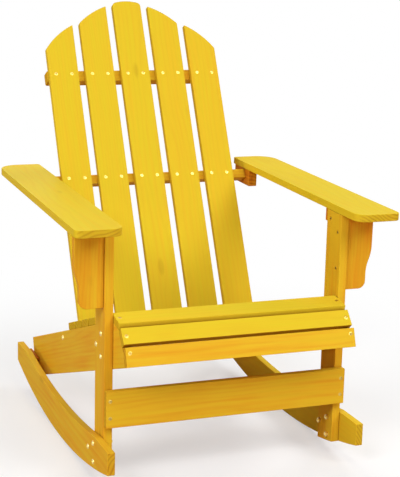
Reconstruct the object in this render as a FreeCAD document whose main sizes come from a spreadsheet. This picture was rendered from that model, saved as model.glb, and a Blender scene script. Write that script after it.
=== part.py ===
"""A rocking adirondack chair, piece by piece, in millimetres.

The chair faces -Y and stands on the floor at Z = 0, with its middle on X = 0. Left and right
are as seen from its front. It is drawn upright, with its legs plumb and the front faces of the
legs at Y = 0, and every finished piece then takes the pose in which the empty chair rests.
"""
import FreeCAD, Part

import math
import os
import re

import Sketcher
from FreeCAD import Vector

# Driving dimensions, in mm and degrees: name, value, meaning
DIMENSIONS = (
    ("board_thickness", 16, "arms, slats, apron, rockers"),
    ("post_thickness", 18, "legs, seat rails, brackets and spacers"),
    # Rockers
    ("rocker_radius", 1523, "lower edge of a rocker"),
    ("rocker_middle", 308, "centre of that arc behind the legs' front"),
    ("rocker_height", 98.5, "top edge of a rocker above the floor"),
    ("rocker_toe", 80, "rocker ahead of the legs"),
    ("rocker_heel", 21, "rocker behind the seat rails"),
    ("scoop_radius", 2050, "hollow in a rocker's top edge"),
    ("scoop_depth", 21.5, "depth of that hollow"),
    ("spacer_length", 80, "spacer between a seat rail and a rocker"),
    ("spacer_lap", 10, "spacer behind the seat rail's end"),
    ("spacer_drop", 16.5, "spacer's top below the rocker's"),
    ("spacer_lift", 2, "spacer above the rocker's lower edge"),
    # Legs and the stretcher between them
    ("leg_width", 68, "leg, front to back"),
    ("arm_height", 537.7, "underside of the arms at the legs' front"),
    ("arm_slope", 1.14, "rise of the arms to the rear"),
    ("stretcher_thickness", 15, "front stretcher, front to back"),
    ("stretcher_width", 78.3, "front stretcher, up and down"),
    ("stretcher_height", 124.2, "lower edge of the front stretcher"),
    # Seat rails
    ("rail_depth", 96, "width of a seat rail board"),
    ("seat_height", 346.5, "top edge of the rails at the legs' front"),
    ("seat_run", 680.3, "rails' rear corners behind the legs' front"),
    ("rail_foot", 68, "those corners above the rockers' lower edge"),
    ("heel_clearance", 6, "trimmed heel of a rail above that edge"),
    ("fore_start", 8, "fore facet's start behind the legs' front"),
    ("fore_slope", 29.4, "fore facet's turn from the top edge"),
    ("nose_turn", 37.9, "nose facet's turn from the fore facet"),
    ("nose_length", 54, "length of the nose facet"),
    # Seat slats
    ("seat_slat_width", 50, "flat slats and the fore slat"),
    ("seat_gap", 7, "gap between the flat slats"),
    ("fore_rear_lap", 7, "fore slat behind its facet"),
    ("fore_front_lap", 1, "fore slat past the nose"),
    ("nose_slat_width", 36, "slat round the nose"),
    ("nose_gap", 2.5, "nose slat below the nose"),
    # Back
    ("seat_to_back", 26.6, "last slat to the back, along the rails"),
    ("back_angle", 98.04, "angle between the rails and the back"),
    ("back_slat_width", 72, "back slats"),
    ("back_gap", 18, "gap between the back slats"),
    ("back_side_gap", 16, "gap from the back slats to the seat rails"),
    ("back_height", 809.9, "crown of the middle slat above the rails"),
    ("back_tail", 35.6, "lower ends of the slats below the rails"),
    ("crown_radius", 114, "top of the middle slat"),
    ("fan_radius", 195, "tops of the other slats"),
    ("second_high_drop", 13.7, "second slats' inner corner below the crown"),
    ("second_low_drop", 58.2, "second slats' outer corner below the crown"),
    ("outer_high_drop", 63, "outer slats' inner corner below the crown"),
    ("outer_low_drop", 124.5, "outer slats' outer corner below the crown"),
    ("crown_corner", 11, "corner radius of the middle slat"),
    ("fan_corner", 8, "radius of the other slats' outer corners"),
    ("upper_rail_height", 26, "upper and lower back rails, along the slats"),
    ("upper_rail_depth", 32, "the same, front to back"),
    ("upper_rail_place", 620.9, "middle of the upper back rail above the seat rails"),
    ("upper_rail_lap", 2, "upper back rail past the slats"),
    ("lower_rail_drop", 10.6, "middle of the lower back rail below the rails' top"),
    ("arm_rail_height", 22, "arm-level back rail, along the slats"),
    ("arm_rail_depth", 28, "the same, front to back"),
    ("arm_rail_drop", 18.8, "its middle below the underside of the arms"),
    ("rail_corner", 7, "rounded rear corners of the back rails"),
    # Arms and what carries them
    ("arm_width", 100, "arm boards"),
    ("arm_overhang", 75.4, "arms ahead of the legs"),
    ("arm_rear_lap", 6, "arms behind their rear blocks"),
    ("arm_front_outer", 16, "corner radius"),
    ("arm_front_inner", 28, "corner radius"),
    ("arm_rear_outer", 45, "corner radius"),
    ("arm_rear_inner", 8, "corner radius"),
    ("bracket_width", 61.5, "bracket under an arm, at its top"),
    ("bracket_height", 166, "height of a bracket at its outer edge"),
    ("bracket_setback", 6, "bracket behind the leg's front"),
    ("bracket_straight", 72, "straight upper part of its outer edge"),
    ("bracket_sweep", 60, "height of the S-curve below that"),
    ("bracket_waist", 11, "how far the S-curve comes in"),
    ("bracket_foot", 16, "radius of its lower outer corner"),
    ("cleat_thickness", 22, "cleat on the outside of a leg's top"),
    ("cleat_length", 80, "cleat, front to back"),
    ("cleat_height", 36, "cleat at its front end"),
    ("cleat_gap", 8, "cleat behind the bracket"),
    ("block_thickness", 21, "rear arm block, across"),
    ("block_length", 91, "rear arm block, front to back"),
    ("block_height", 41, "rear arm block, up and down"),
    ("block_inset", 4, "rear arm block from the arm's inner edge"),
    ("block_shift", 7, "its middle behind the arm-level rail's"),
    # Fasteners
    ("bolt_diameter", 6, "shanks of the bolts"),
    ("bolt_head", 11, "domed heads"),
    ("bolt_dome", 3.2, "height of the domed heads"),
    ("bolt_end", 2, "bolt past its nut"),
    ("nut_width", 10, "nuts, across their flats"),
    ("nut_thickness", 5, "nuts"),
    ("screw_diameter", 4, "shanks of the screws"),
    ("screw_head", 8, "countersunk heads"),
    ("screw_point", 3, "tapered tip of a screw"),
    ("screw_sink", 0.3, "heads below the wood"),
    ("bore_clearance", 0.15, "a bore round its screw or bolt, on the radius"),
    ("screw_grip", 22, "screws in the piece that holds them"),
    ("short_grip", 12, "screws in a thin board that holds them"),
    ("lag_grip", 25, "long screws in the end of a rail"),
    ("screw_spread", 39, "a back slat's two screws apart"),
    # Fastener places, (back from the legs' front, up from the floor) or down from the rails' top
    ("upper_bolt_y", 22, "upper rocker bolt"),
    ("upper_bolt_z", 82, "upper rocker bolt"),
    ("middle_bolt_y", 58, "middle rocker bolt"),
    ("middle_bolt_z", 62, "middle rocker bolt"),
    ("lower_bolt_y", 20, "lower rocker bolt"),
    ("lower_bolt_z", 43, "lower rocker bolt"),
    ("front_bolt_y", 25, "front leg bolts"),
    ("rear_bolt_y", 58.3, "rear leg bolt"),
    ("first_bolt_drop", 23.4, "upper front leg bolt below the seat rails' top"),
    ("second_bolt_drop", 43.6, "rear leg bolt below the same"),
    ("third_bolt_drop", 71.9, "lower front leg bolt below the same"),
    ("stretcher_screw_edge", 21, "stretcher screws from its edges"),
    ("apron_screw_edge", 12, "apron screws from its upper edge"),
    ("bracket_screw_top", 40, "upper bracket screw below the arm"),
    ("bracket_screw_gap", 79, "a bracket's two screws apart"),
    ("cleat_screw_y", 50, "cleat screw behind the legs' front"),
    ("cleat_screw_drop", 18, "cleat screw below the arm"),
    ("arm_screw_edge", 14, "arm screws from the ends of cleats and blocks"),
    ("arm_screw_gap", 26, "a cleat's two arm screws apart"),
    ("spacer_screw_edge", 16, "front spacer screw from the spacer's front"),
    ("spacer_screw_gap", 24, "a spacer's two screws apart"),
)

FLAT_SLATS = 6
SIDES = (("left", -1), ("right", 1))
WOOD_DENSITY = 520e-9
STEEL_DENSITY = 7850e-9

# Sizes that follow from the driving ones: name, expression
WORKED = (
    ("arc_at_rear", "rocker_radius - sqrt(rocker_radius ^ 2 - (seat_run - rocker_middle) ^ 2)"),
    ("seat_pitch", "atan((seat_height - rail_foot - arc_at_rear) / seat_run) / 1deg"),
    ("rail_length", "(seat_height - rail_foot - arc_at_rear) / sin(seat_pitch)"),
    ("heel_drop", "seat_height - arc_at_rear - heel_clearance"),
    ("heel_end", "(rail_length * sin(seat_pitch) - heel_drop) / cos(seat_pitch)"),
    ("heel_start", "(heel_drop - rail_depth * cos(seat_pitch)) / sin(seat_pitch)"),
    ("fore_length", "seat_slat_width - fore_rear_lap - fore_front_lap"),
    ("nose_y", "fore_start - fore_length * cos(fore_slope)"),
    ("nose_z", "-fore_length * sin(fore_slope)"),
    ("front_y", "nose_y - nose_length * cos(fore_slope + nose_turn)"),
    ("front_z", "nose_z - nose_length * sin(fore_slope + nose_turn)"),
    ("apron_top", "nose_z - (nose_gap + nose_slat_width) * sin(fore_slope + nose_turn)"),
    ("flat_start", "fore_start + fore_rear_lap + seat_gap"),
    ("last_edge", f"flat_start + {FLAT_SLATS} * (seat_slat_width + seat_gap) - seat_gap + seat_to_back"),
    ("back_lean", "seat_pitch + back_angle - 90"),
    ("back_y", "last_edge * cos(seat_pitch)"),
    ("back_z", "seat_height - last_edge * sin(seat_pitch)"),
    ("arm_rail_middle", "board_thickness + arm_rail_depth / 2"),
    ("arm_rail_place", "(arm_height - arm_rail_drop - back_z + arm_rail_middle * sin(back_lean)"
                       " + (back_y + arm_rail_middle * cos(back_lean)) * tan(arm_slope))"
                       " / (cos(back_lean) - sin(back_lean) * tan(arm_slope))"),
    ("arm_rail_y", "back_y + arm_rail_place * sin(back_lean) + arm_rail_middle * cos(back_lean)"),
    ("block_front", "arm_rail_y + block_shift - block_length / 2"),
    ("arm_end", "block_front + block_length + arm_rear_lap"),
    ("back_pitch", "back_slat_width + back_gap"),
    ("back_half", "2 * back_pitch + back_slat_width / 2"),
    ("rail_inner", "back_half + back_side_gap"),
    ("leg_inner", "rail_inner + post_thickness"),
    ("rocker_inner", "leg_inner + post_thickness"),
    ("rocker_outer", "rocker_inner + board_thickness"),
    ("block_inner", "leg_inner + block_inset"),
    ("half_slat", "back_slat_width / 2"),
    ("crown_side", "back_height - crown_radius + sqrt(crown_radius ^ 2 - half_slat ^ 2)"),
    ("rail_screw_x", "rail_inner + post_thickness / 2"),
    ("leg_screw_x", "leg_inner + post_thickness / 2"),
    ("bolt_reach", "nut_thickness + bolt_end"),
    ("spacer_rear", "seat_run + spacer_lap"),
    ("spacer_front", "spacer_rear - spacer_length"),
    ("spacer_floor", "rocker_radius - sqrt(rocker_radius ^ 2 - (spacer_rear - rocker_middle) ^ 2)"
                     " + spacer_lift"),
    ("spacer_top", "rocker_height - spacer_drop"),
    ("cleat_front", "bracket_setback + post_thickness + cleat_gap"),
    ("dome_radius", "(bolt_head ^ 2 / 4 + bolt_dome ^ 2) / (2 * bolt_dome)"),
    ("sweep_turn", "2 * atan(bracket_waist / bracket_sweep) / 1deg"),
    ("sweep_radius", "bracket_sweep / (2 * sin(sweep_turn))"),
)

doc = FreeCAD.newDocument("rocking_chair")
sizes = doc.addObject("Spreadsheet::Sheet", "Sizes")
worked = doc.addObject("App::VarSet", "Worked")
frames = doc.addObject("App::VarSet", "Frames")
rest = doc.addObject("App::VarSet", "Rest")
rest.addProperty("App::PropertyPlacement", "resting_pose")
owners = {"resting_pose": "Rest"}
nodes = {}
densities = {}


def full(text):
    """Put the owning object before each named size or frame in an expression."""
    def owned(match):
        word = match.group(0)
        return f"{owners[word]}.{word}" if word in owners else word
    return re.sub(r"[a-z][a-z0-9_]*", owned, text)


def bind(thing, **properties):
    """Tie properties of an object to expressions on the named sizes."""
    for name, text in properties.items():
        thing.setExpression(name, full(text))


def value(text):
    """Work out an expression on the named sizes."""
    return float(sizes.evalExpression(full(text)))


def at(x="0", y="0", z="0", pitch="0"):
    """A place across, behind and above an origin, its rear turned up by the pitch."""
    return f"placement(vector({x}; {y}; {z}); rotationx({pitch}))"


def fill_sheet():
    """Enter the driving dimensions, and the sizes worked out from them."""
    for row, (name, size, meaning) in enumerate(DIMENSIONS, start=1):
        sizes.set(f"A{row}", name)
        sizes.set(f"B{row}", str(size))
        sizes.set(f"C{row}", meaning)
        sizes.setAlias(f"B{row}", name)
        owners[name] = "Sizes"
    doc.recompute()
    for name, text in WORKED:
        worked.addProperty("App::PropertyFloat", name)
        bind(worked, **{name: text})
        owners[name] = "Worked"
        doc.recompute()


def add_frame(name, place):
    """Name a frame that pieces are placed in."""
    frames.addProperty("App::PropertyPlacement", name)
    bind(frames, **{name: place})
    owners[name] = "Frames"
    doc.recompute()


def add_frames():
    """The frames of the seat, its two front facets, the arms and the back."""
    add_frame("floor_frame", at())
    add_frame("seat_frame", at(z="seat_height", pitch="-seat_pitch"))
    add_frame("fore_frame", "seat_frame * " + at(y="fore_start", pitch="fore_slope"))
    add_frame("nose_frame", "fore_frame * " + at(y="-fore_length", pitch="nose_turn"))
    add_frame("arm_frame", at(z="arm_height", pitch="arm_slope"))
    add_frame("back_frame", "seat_frame * " + at(y="last_edge", pitch="90 - back_angle"))


def outline(body, name, role, corners):
    """Sketch a closed outline, anticlockwise, on one of a body's own planes.

    A corner is two expressions, and a third gives the radius of an arc to the next corner,
    which is hollow where the expression starts with a minus sign.
    """
    sketch = body.newObject("Sketcher::SketchObject", name)
    plane = next(item for item in body.Origin.OriginFeatures if item.Role == role)
    sketch.AttachmentSupport = (plane, [""])
    sketch.MapMode = "FlatFace"
    spots = [Vector(value(corner[0]), value(corner[1]), 0) for corner in corners]
    starts = []
    ends = []
    radii = []
    for index, corner in enumerate(corners):
        here, there = spots[index], spots[(index + 1) % len(spots)]
        first, last = 1, 2
        if len(corner) == 2:
            edge = Part.LineSegment(here, there)
        else:
            radius = value(corner[2])
            if radius < 0:
                here, there = there, here
                first, last = 2, 1
            chord = there - here
            reach = math.sqrt(radius ** 2 - chord.Length ** 2 / 4)
            inward = Vector(-chord.y, chord.x, 0).normalize()
            centre = (here + there) * 0.5 + inward * reach
            spokes = [math.atan2(spot.y - centre.y, spot.x - centre.x) for spot in (here, there)]
            circle = Part.Circle(centre, Vector(0, 0, 1), abs(radius))
            edge = Part.ArcOfCircle(circle, spokes[0], spokes[1])
        number = sketch.addGeometry(edge, False)
        if len(corner) == 3:
            radii.append((number, corner[2].lstrip("-")))
        starts.append((number, first))
        ends.append((number, last))
    for index, corner in enumerate(corners):
        sketch.addConstraint(Sketcher.Constraint("Coincident", *ends[index - 1], *starts[index]))
        for kind, distance, text in (("DistanceX", spots[index].x, corner[0]),
                                     ("DistanceY", spots[index].y, corner[1])):
            tie = Sketcher.Constraint(kind, -1, 1, *starts[index], distance)
            sketch.setExpression(f"Constraints[{sketch.addConstraint(tie)}]", full(text))
    for number, text in radii:
        tie = Sketcher.Constraint("Radius", number, value(text))
        sketch.setExpression(f"Constraints[{sketch.addConstraint(tie)}]", full(text))
    return sketch


def board(name, role, corners, thickness, place, rounded=(), backwards=False):
    """Cut a board to an outline, and round the corners listed as (x, y, radius)."""
    body = doc.addObject("PartDesign::Body", name + "_board")
    sketch = outline(body, name + "_outline", role, corners)
    pad = body.newObject("PartDesign::Pad", name + "_pad")
    pad.Profile = sketch
    pad.Reversed = backwards
    bind(pad, Length=thickness)
    doc.recompute()
    base = pad
    for number, (across, along, radius) in enumerate(rounded):
        corner = (value(across), value(along))
        fillet = body.newObject("PartDesign::Fillet", f"{name}_corner_{number}")
        fillet.Base = (base, [upright_edge(base.Shape, role, corner)])
        bind(fillet, Radius=radius)
        doc.recompute()
        base = fillet
    bind(body, Placement=place)
    return body


def upright_edge(shape, role, corner):
    """Find the edge of a board that stands on the given corner of its outline."""
    flat = {"XY_Plane": ("x", "y"), "XZ_Plane": ("x", "z"), "YZ_Plane": ("y", "z")}[role]

    def off(edge):
        return max(math.dist(corner, [getattr(vertex.Point, axis) for axis in flat])
                   for vertex in edge.Vertexes)
    nearest = min(range(len(shape.Edges)), key=lambda index: off(shape.Edges[index]))
    return f"Edge{nearest + 1}"


def block(name, size, place):
    """A square-cut piece of wood, from its corner in a frame."""
    box = doc.addObject("Part::Box", name + "_blank")
    bind(box, Length=size[0], Width=size[1], Height=size[2], Placement=place)
    return box


def disc(name, radius, middle, height, reach):
    """A wide disc on an axis across the chair, which shapes curved edges."""
    tool = doc.addObject("Part::Cylinder", name)
    bind(tool, Radius=radius, Height=reach)
    bind(tool, Placement=f"placement(vector(-({reach}) / 2; {middle}; {height}); rotationy(90))")
    return tool


def combine(kind, name, base, tool):
    """Cut one shape with another, or keep what they share."""
    result = doc.addObject(kind, name)
    result.Base = base
    result.Tool = tool
    return result


def turned(name, corners):
    """Turn a profile about the Z axis."""
    body = doc.addObject("PartDesign::Body", name)
    sketch = outline(body, name + "_profile", "XZ_Plane", corners)
    turning = body.newObject("PartDesign::Revolution", name + "_turned")
    turning.Profile = sketch
    turning.ReferenceAxis = (sketch, ["V_Axis"])
    turning.Angle = 360
    return body


def screw(name, length):
    """A countersunk screw, its head's top at the origin."""
    return turned(name, [
        ("0", f"-({length})"), ("screw_diameter / 2", f"screw_point - ({length})"),
        ("screw_diameter / 2", "(screw_diameter - screw_head) / 2"),
        ("screw_head / 2", "0"), ("0", "0")])


def screw_bore(name, length):
    """The countersunk bore that such a screw fits, up to the surface of the wood."""
    head = "screw_head / 2 + bore_clearance"
    shank = "screw_diameter / 2 + bore_clearance"
    return turned(name, [
        ("0", f"-({length}) - bore_clearance"), (shank, f"-({length}) - bore_clearance"),
        (shank, "(screw_diameter - screw_head) / 2"), (head, "0"), (head, "screw_sink"),
        ("0", "screw_sink")])


def bolt_bore(name, length):
    """The straight bore that a bolt of the given length fits."""
    shank = "bolt_diameter / 2 + bore_clearance"
    depth = f"-({length}) - bore_clearance"
    return turned(name, [("0", depth), (shank, depth), (shank, "0"), ("0", "0")])


def bolt(name, length):
    """A bolt with a domed head, its seat at the origin."""
    return turned(name, [
        ("0", f"-({length})"), ("bolt_diameter / 2", f"-({length})"),
        ("bolt_diameter / 2", "0"), ("bolt_head / 2", "0", "dome_radius"), ("0", "bolt_dome")])


def nut(name):
    """A hexagonal nut, its lower face at the origin."""
    prism = doc.addObject("Part::Prism", name + "_blank")
    prism.Polygon = 6
    bind(prism, Circumradius="nut_width / 2 / cos(30)", Height="nut_thickness")
    hole = doc.addObject("Part::Cylinder", name + "_hole")
    bind(hole, Radius="bolt_diameter / 2 + bore_clearance", Height="nut_thickness")
    return combine("Part::Cut", name, prism, hole)


def repeat(name, master, places):
    """Set copies of one fastener or bore at the given places."""
    copies = []
    for number, place in enumerate(places, start=1):
        copy = doc.addObject("App::Link", f"{name}_{number}")
        copy.LinkedObject = master
        bind(copy, Placement=place)
        copies.append(copy)
    group = doc.addObject("Part::Compound", name)
    group.Links = copies
    return group


def finish(name, piece, density):
    """Make a finished piece a node of the chair, in its resting pose."""
    piece.Label = name
    bind(piece, Placement="resting_pose")
    nodes[name] = piece
    densities[name] = density


def fasten(name, master, bore, places):
    """Make a group of fasteners a node, and return the bores that they need."""
    finish(name, repeat(name, master, places), STEEL_DENSITY)
    return repeat(name + "_bores", bore, places)


def screws(name, length, places):
    """Set screws of one length, their tops just below the wood."""
    sunk = [f"{place} * {at(z='-screw_sink')}" for place in places]
    return fasten(name, screw(name + "_screw", length), screw_bore(name + "_bore", length), sunk)


def bolts(name, length, places):
    """Set bolts of one length, their heads on the wood."""
    return fasten(name, bolt(name + "_bolt", length), bolt_bore(name + "_bore", length), places)


def drilled(name, piece, bores):
    """Drill a wooden piece, and make it a node."""
    tool = doc.addObject("Part::Compound", name + "_bores")
    tool.Links = bores
    finish(name, combine("Part::Cut", name, piece, tool), WOOD_DENSITY)


def outward(side, x, y, z, frame="floor_frame"):
    """A place whose Z axis points away from the chair's middle on the given side."""
    return f"{frame} * placement(vector({side} * ({x}); {y}; {z}); rotationy({side * 90}))"


def inward(side, x, y, z, frame="floor_frame"):
    """A place whose Z axis points to the chair's middle from the given side."""
    return f"{frame} * placement(vector({side} * ({x}); {y}; {z}); rotationy({-side * 90}))"


def both_sides(direction, x, spots, frame="floor_frame"):
    """The same places on both sides of the chair."""
    return [direction(side, x, y, z, frame) for _, side in SIDES for y, z in spots]


def between(side, inner, thickness):
    """Where in X a piece starts that reaches from a distance beside the middle outwards."""
    return inner if side > 0 else f"-({inner} + {thickness})"


def rail_top(y):
    """Height of the seat rails' top edge at a distance behind the legs' front."""
    return f"seat_height - {y} * tan(seat_pitch)"


def seat_slats():
    """Name, frame, front edge and width of each slat, from the nose to the back."""
    slats = [("nose_slat", "nose_frame", "-nose_gap - nose_slat_width", "nose_slat_width"),
             ("fore_slat", "fore_frame", "-fore_length - fore_front_lap", "seat_slat_width")]
    for number in range(FLAT_SLATS):
        front = f"flat_start + {number} * (seat_slat_width + seat_gap)"
        slats.append((f"seat_slat_{number + 1}", "seat_frame", front, "seat_slat_width"))
    return slats


def seat_screw_places():
    """One screw in each end of each seat slat, over the middle of the seat rail."""
    return [f"{frame} * {at(f'{side} * rail_screw_x', f'{front} + {width} / 2', 'board_thickness')}"
            for _, frame, front, width in seat_slats() for _, side in SIDES]


def facing_front(frame, x, y, z):
    """A place whose Z axis points to the front of its frame."""
    return f"{frame} * {at(x, y, z, '90')}"


def facing_down(frame, x, y, z):
    """A place whose Z axis points down in its frame."""
    return f"{frame} * {at(x, y, z, '180')}"


def back_screw_places():
    """Two screws in each back slat at each of the three back rails."""
    return [facing_front("back_frame", f"{slat} * back_pitch + {side} * screw_spread / 2", "0", z)
            for z in ("upper_rail_place", "arm_rail_place", "-lower_rail_drop")
            for slat in range(-2, 3) for _, side in SIDES]


def make_fasteners():
    """Set every screw, bolt and nut, and return the bores by the name of their group."""
    low = "stretcher_height + stretcher_screw_edge"
    high = "stretcher_height + stretcher_width - stretcher_screw_edge"
    bracket_y = "bracket_setback + post_thickness / 2"
    rocker_spots = [("upper_bolt_y", "upper_bolt_z"), ("middle_bolt_y", "middle_bolt_z"),
                    ("lower_bolt_y", "lower_bolt_z")]
    leg_spots = [("front_bolt_y", rail_top("front_bolt_y") + " - first_bolt_drop"),
                 ("rear_bolt_y", rail_top("rear_bolt_y") + " - second_bolt_drop"),
                 ("front_bolt_y", rail_top("front_bolt_y") + " - third_bolt_drop")]
    spacer_z = "(spacer_floor + spacer_top) / 2"
    spacer_spots = [("spacer_front + spacer_screw_edge", spacer_z),
                    ("spacer_front + spacer_screw_edge + spacer_screw_gap", spacer_z)]
    bracket_spots = [(bracket_y, "-bracket_screw_top"),
                     (bracket_y, "-bracket_screw_top - bracket_screw_gap")]
    cleat_x = "rocker_inner + cleat_thickness / 2"
    cleat_ends = ("cleat_front + cleat_length - arm_screw_edge",
                  "cleat_front + cleat_length - arm_screw_edge - arm_screw_gap")
    block_x = "block_inner + block_thickness / 2"
    block_ends = ("block_front + arm_screw_edge", "block_front + block_length - arm_screw_edge")
    bores = {}
    bores["rocker_bolts"] = bolts(
        "rocker_bolts", "board_thickness + post_thickness + bolt_reach",
        both_sides(outward, "rocker_outer", rocker_spots))
    bores["leg_bolts"] = bolts(
        "leg_bolts", "2 * post_thickness + bolt_reach",
        both_sides(outward, "rocker_inner", leg_spots))
    bores["back_rail_bolts"] = bolts(
        "back_rail_bolts", "post_thickness + lag_grip",
        both_sides(outward, "leg_inner",
                   [("board_thickness + upper_rail_depth / 2", "-lower_rail_drop")], "back_frame"))
    finish("rocker_nuts", repeat("rocker_nuts", nut("rocker_nut"),
                                 both_sides(inward, "leg_inner", rocker_spots)), STEEL_DENSITY)
    finish("leg_nuts", repeat("leg_nuts", nut("leg_nut"),
                              both_sides(inward, "rail_inner", leg_spots)), STEEL_DENSITY)
    bores["seat_screws"] = screws(
        "seat_screws", "board_thickness + screw_grip", seat_screw_places())
    bores["apron_screws"] = screws(
        "apron_screws", "board_thickness + screw_grip",
        [facing_front("seat_frame", f"{side} * rail_screw_x", "front_y - board_thickness",
                      "apron_top - apron_screw_edge") for _, side in SIDES])
    bores["stretcher_screws"] = screws(
        "stretcher_screws", "stretcher_thickness + screw_grip",
        [facing_front("floor_frame", f"{side} * leg_screw_x", "-stretcher_thickness", z)
         for _, side in SIDES for z in (low, high)])
    bores["back_screws"] = screws(
        "back_screws", "board_thickness + screw_grip", back_screw_places())
    bores["spacer_screws"] = screws(
        "spacer_screws", "2 * post_thickness + short_grip",
        both_sides(inward, "rail_inner", spacer_spots))
    bores["bracket_screws"] = screws(
        "bracket_screws", "post_thickness + screw_grip",
        both_sides(inward, "leg_inner", bracket_spots, "arm_frame"))
    bores["cleat_screws"] = screws(
        "cleat_screws", "post_thickness + short_grip",
        both_sides(inward, "leg_inner", [("cleat_screw_y", "-cleat_screw_drop")], "arm_frame"))
    bores["cleat_arm_screws"] = screws(
        "cleat_arm_screws", "cleat_height + short_grip",
        [facing_down("arm_frame", f"{side} * ({cleat_x})", y, "-cleat_height")
         for _, side in SIDES for y in cleat_ends])
    bores["block_arm_screws"] = screws(
        "block_arm_screws", "block_height + short_grip",
        [facing_down("arm_frame", f"{side} * ({block_x})", y, "-block_height")
         for _, side in SIDES for y in block_ends])
    bores["arm_rail_screws"] = screws(
        "arm_rail_screws", "block_thickness + lag_grip",
        both_sides(outward, "block_inner + block_thickness",
                   [("arm_rail_middle", "arm_rail_place")], "back_frame"))
    return bores


def make_rocker(name, side, bores):
    """A runner sawn from a straight board, with a hollow in its top edge."""
    blank = block(name, ("board_thickness", "rocker_toe + seat_run + rocker_heel", "rocker_height"),
                  at(between(side, "rocker_inner", "board_thickness"), "-rocker_toe"))
    lower = disc(name + "_arc", "rocker_radius", "rocker_middle", "rocker_radius", "3 * rocker_outer")
    upper = disc(name + "_hollow", "scoop_radius", "rocker_middle",
                 "rocker_height - scoop_depth + scoop_radius", "3 * rocker_outer")
    runner = combine("Part::Common", name + "_runner", blank, lower)
    drilled(name, combine("Part::Cut", name + "_scooped", runner, upper),
            [bores["rocker_bolts"], bores["spacer_screws"]])


def make_leg(name, side, bores):
    """A front leg, its foot sawn to the rocker's lower edge and its top to the arm."""
    post = board(name, "YZ_Plane", [
        ("0", "0"), ("leg_width", "0"), ("leg_width", "arm_height + leg_width * tan(arm_slope)"),
        ("0", "arm_height")], "post_thickness", at(between(side, "leg_inner", "post_thickness")))
    foot = disc(name + "_arc", "rocker_radius", "rocker_middle", "rocker_radius", "3 * rocker_outer")
    drilled(name, combine("Part::Common", name + "_post", post, foot),
            [bores[group] for group in ("rocker_bolts", "leg_bolts", "stretcher_screws",
                                        "bracket_screws", "cleat_screws")])


def make_seat_rail(name, side, bores):
    """A long sloping rail with two facets at its front and a trimmed heel."""
    rail = board(name, "YZ_Plane", [
        ("front_y", "-rail_depth"), ("heel_start", "-rail_depth"), ("rail_length", "heel_end"),
        ("rail_length", "0"), ("fore_start", "0"), ("nose_y", "nose_z"), ("front_y", "front_z")],
        "post_thickness", "seat_frame * " + at(between(side, "rail_inner", "post_thickness")))
    drilled(name, rail, [bores[group] for group in (
        "leg_bolts", "back_rail_bolts", "seat_screws", "apron_screws", "spacer_screws")])


def make_seat(bores):
    """The seat slats, the apron below the nose, and the stretcher between the legs."""
    for name, frame, front, width in seat_slats():
        slat = block(name, ("2 * leg_inner", width, "board_thickness"),
                     f"{frame} * {at('-leg_inner', front)}")
        drilled(name, slat, [bores["seat_screws"]])
    apron = block("apron", ("2 * leg_inner", "board_thickness", "rail_depth + apron_top"),
                  "seat_frame * " + at("-leg_inner", "front_y - board_thickness", "-rail_depth"))
    drilled("apron", apron, [bores["apron_screws"]])
    stretcher = block("front_stretcher", ("2 * rocker_inner", "stretcher_thickness",
                                          "stretcher_width"),
                      at("-rocker_inner", "-stretcher_thickness", "stretcher_height"))
    drilled("front_stretcher", stretcher, [bores["stretcher_screws"]])


def make_back_slat(number, bores):
    """One back slat, counted from the middle, its top sawn to the fan of the crest."""
    name = f"back_slat_{number + 3}"
    low, high = {0: ("crown_side", "crown_side"),
                 1: ("back_height - second_low_drop", "back_height - second_high_drop"),
                 2: ("back_height - outer_low_drop", "back_height - outer_high_drop")}[abs(number)]
    left, right = (low, high) if number < 0 else (high, low)
    radius = "fan_radius" if number else "crown_radius"
    corners = [("-half_slat", "-back_tail"), ("half_slat", "-back_tail"),
               ("half_slat", right, radius), ("-half_slat", left)]
    rounded = []
    if number <= 0:
        rounded.append(("-half_slat", left, "fan_corner" if number else "crown_corner"))
    if number >= 0:
        rounded.append(("half_slat", right, "fan_corner" if number else "crown_corner"))
    slat = board(name, "XZ_Plane", corners, "board_thickness",
                 f"back_frame * {at(f'{number} * back_pitch')}", rounded, backwards=True)
    drilled(name, slat, [bores["back_screws"]])


def make_back_rail(name, half, depth, height, middle, bores):
    """A rail behind the back slats, its rear corners rounded at both ends."""
    rail = board(name, "XY_Plane", [(f"-({half})", "0"), (half, "0"), (half, depth),
                                    (f"-({half})", depth)],
                 height, f"back_frame * {at(y='board_thickness', z=f'{middle} - {height} / 2')}",
                 [(half, depth, "rail_corner"), (f"-({half})", depth, "rail_corner")])
    drilled(name, rail, bores)


def make_back(bores):
    """Five slats side by side, and three rails behind them."""
    for number in range(-2, 3):
        make_back_slat(number, bores)
    make_back_rail("upper_back_rail", "back_half + upper_rail_lap", "upper_rail_depth",
                   "upper_rail_height", "upper_rail_place", [bores["back_screws"]])
    make_back_rail("arm_back_rail", "block_inner", "arm_rail_depth", "arm_rail_height",
                   "arm_rail_place", [bores["back_screws"], bores["arm_rail_screws"]])
    make_back_rail("lower_back_rail", "rail_inner", "upper_rail_depth", "upper_rail_height",
                   "-lower_rail_drop", [bores["back_screws"], bores["back_rail_bolts"]])


def make_arm(name, side, bores):
    """A flat arm board with four rounded corners."""
    inner = f"{side} * leg_inner"
    outer = f"{side} * (leg_inner + arm_width)"
    first, last = (inner, outer) if side > 0 else (outer, inner)
    arm = board(name, "XY_Plane", [(first, "-arm_overhang"), (last, "-arm_overhang"),
                                   (last, "arm_end"), (first, "arm_end")],
                "board_thickness", "arm_frame",
                [(outer, "-arm_overhang", "arm_front_outer"),
                 (inner, "-arm_overhang", "arm_front_inner"),
                 (outer, "arm_end", "arm_rear_outer"), (inner, "arm_end", "arm_rear_inner")])
    drilled(name, arm, [bores["cleat_arm_screws"], bores["block_arm_screws"]])


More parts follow.
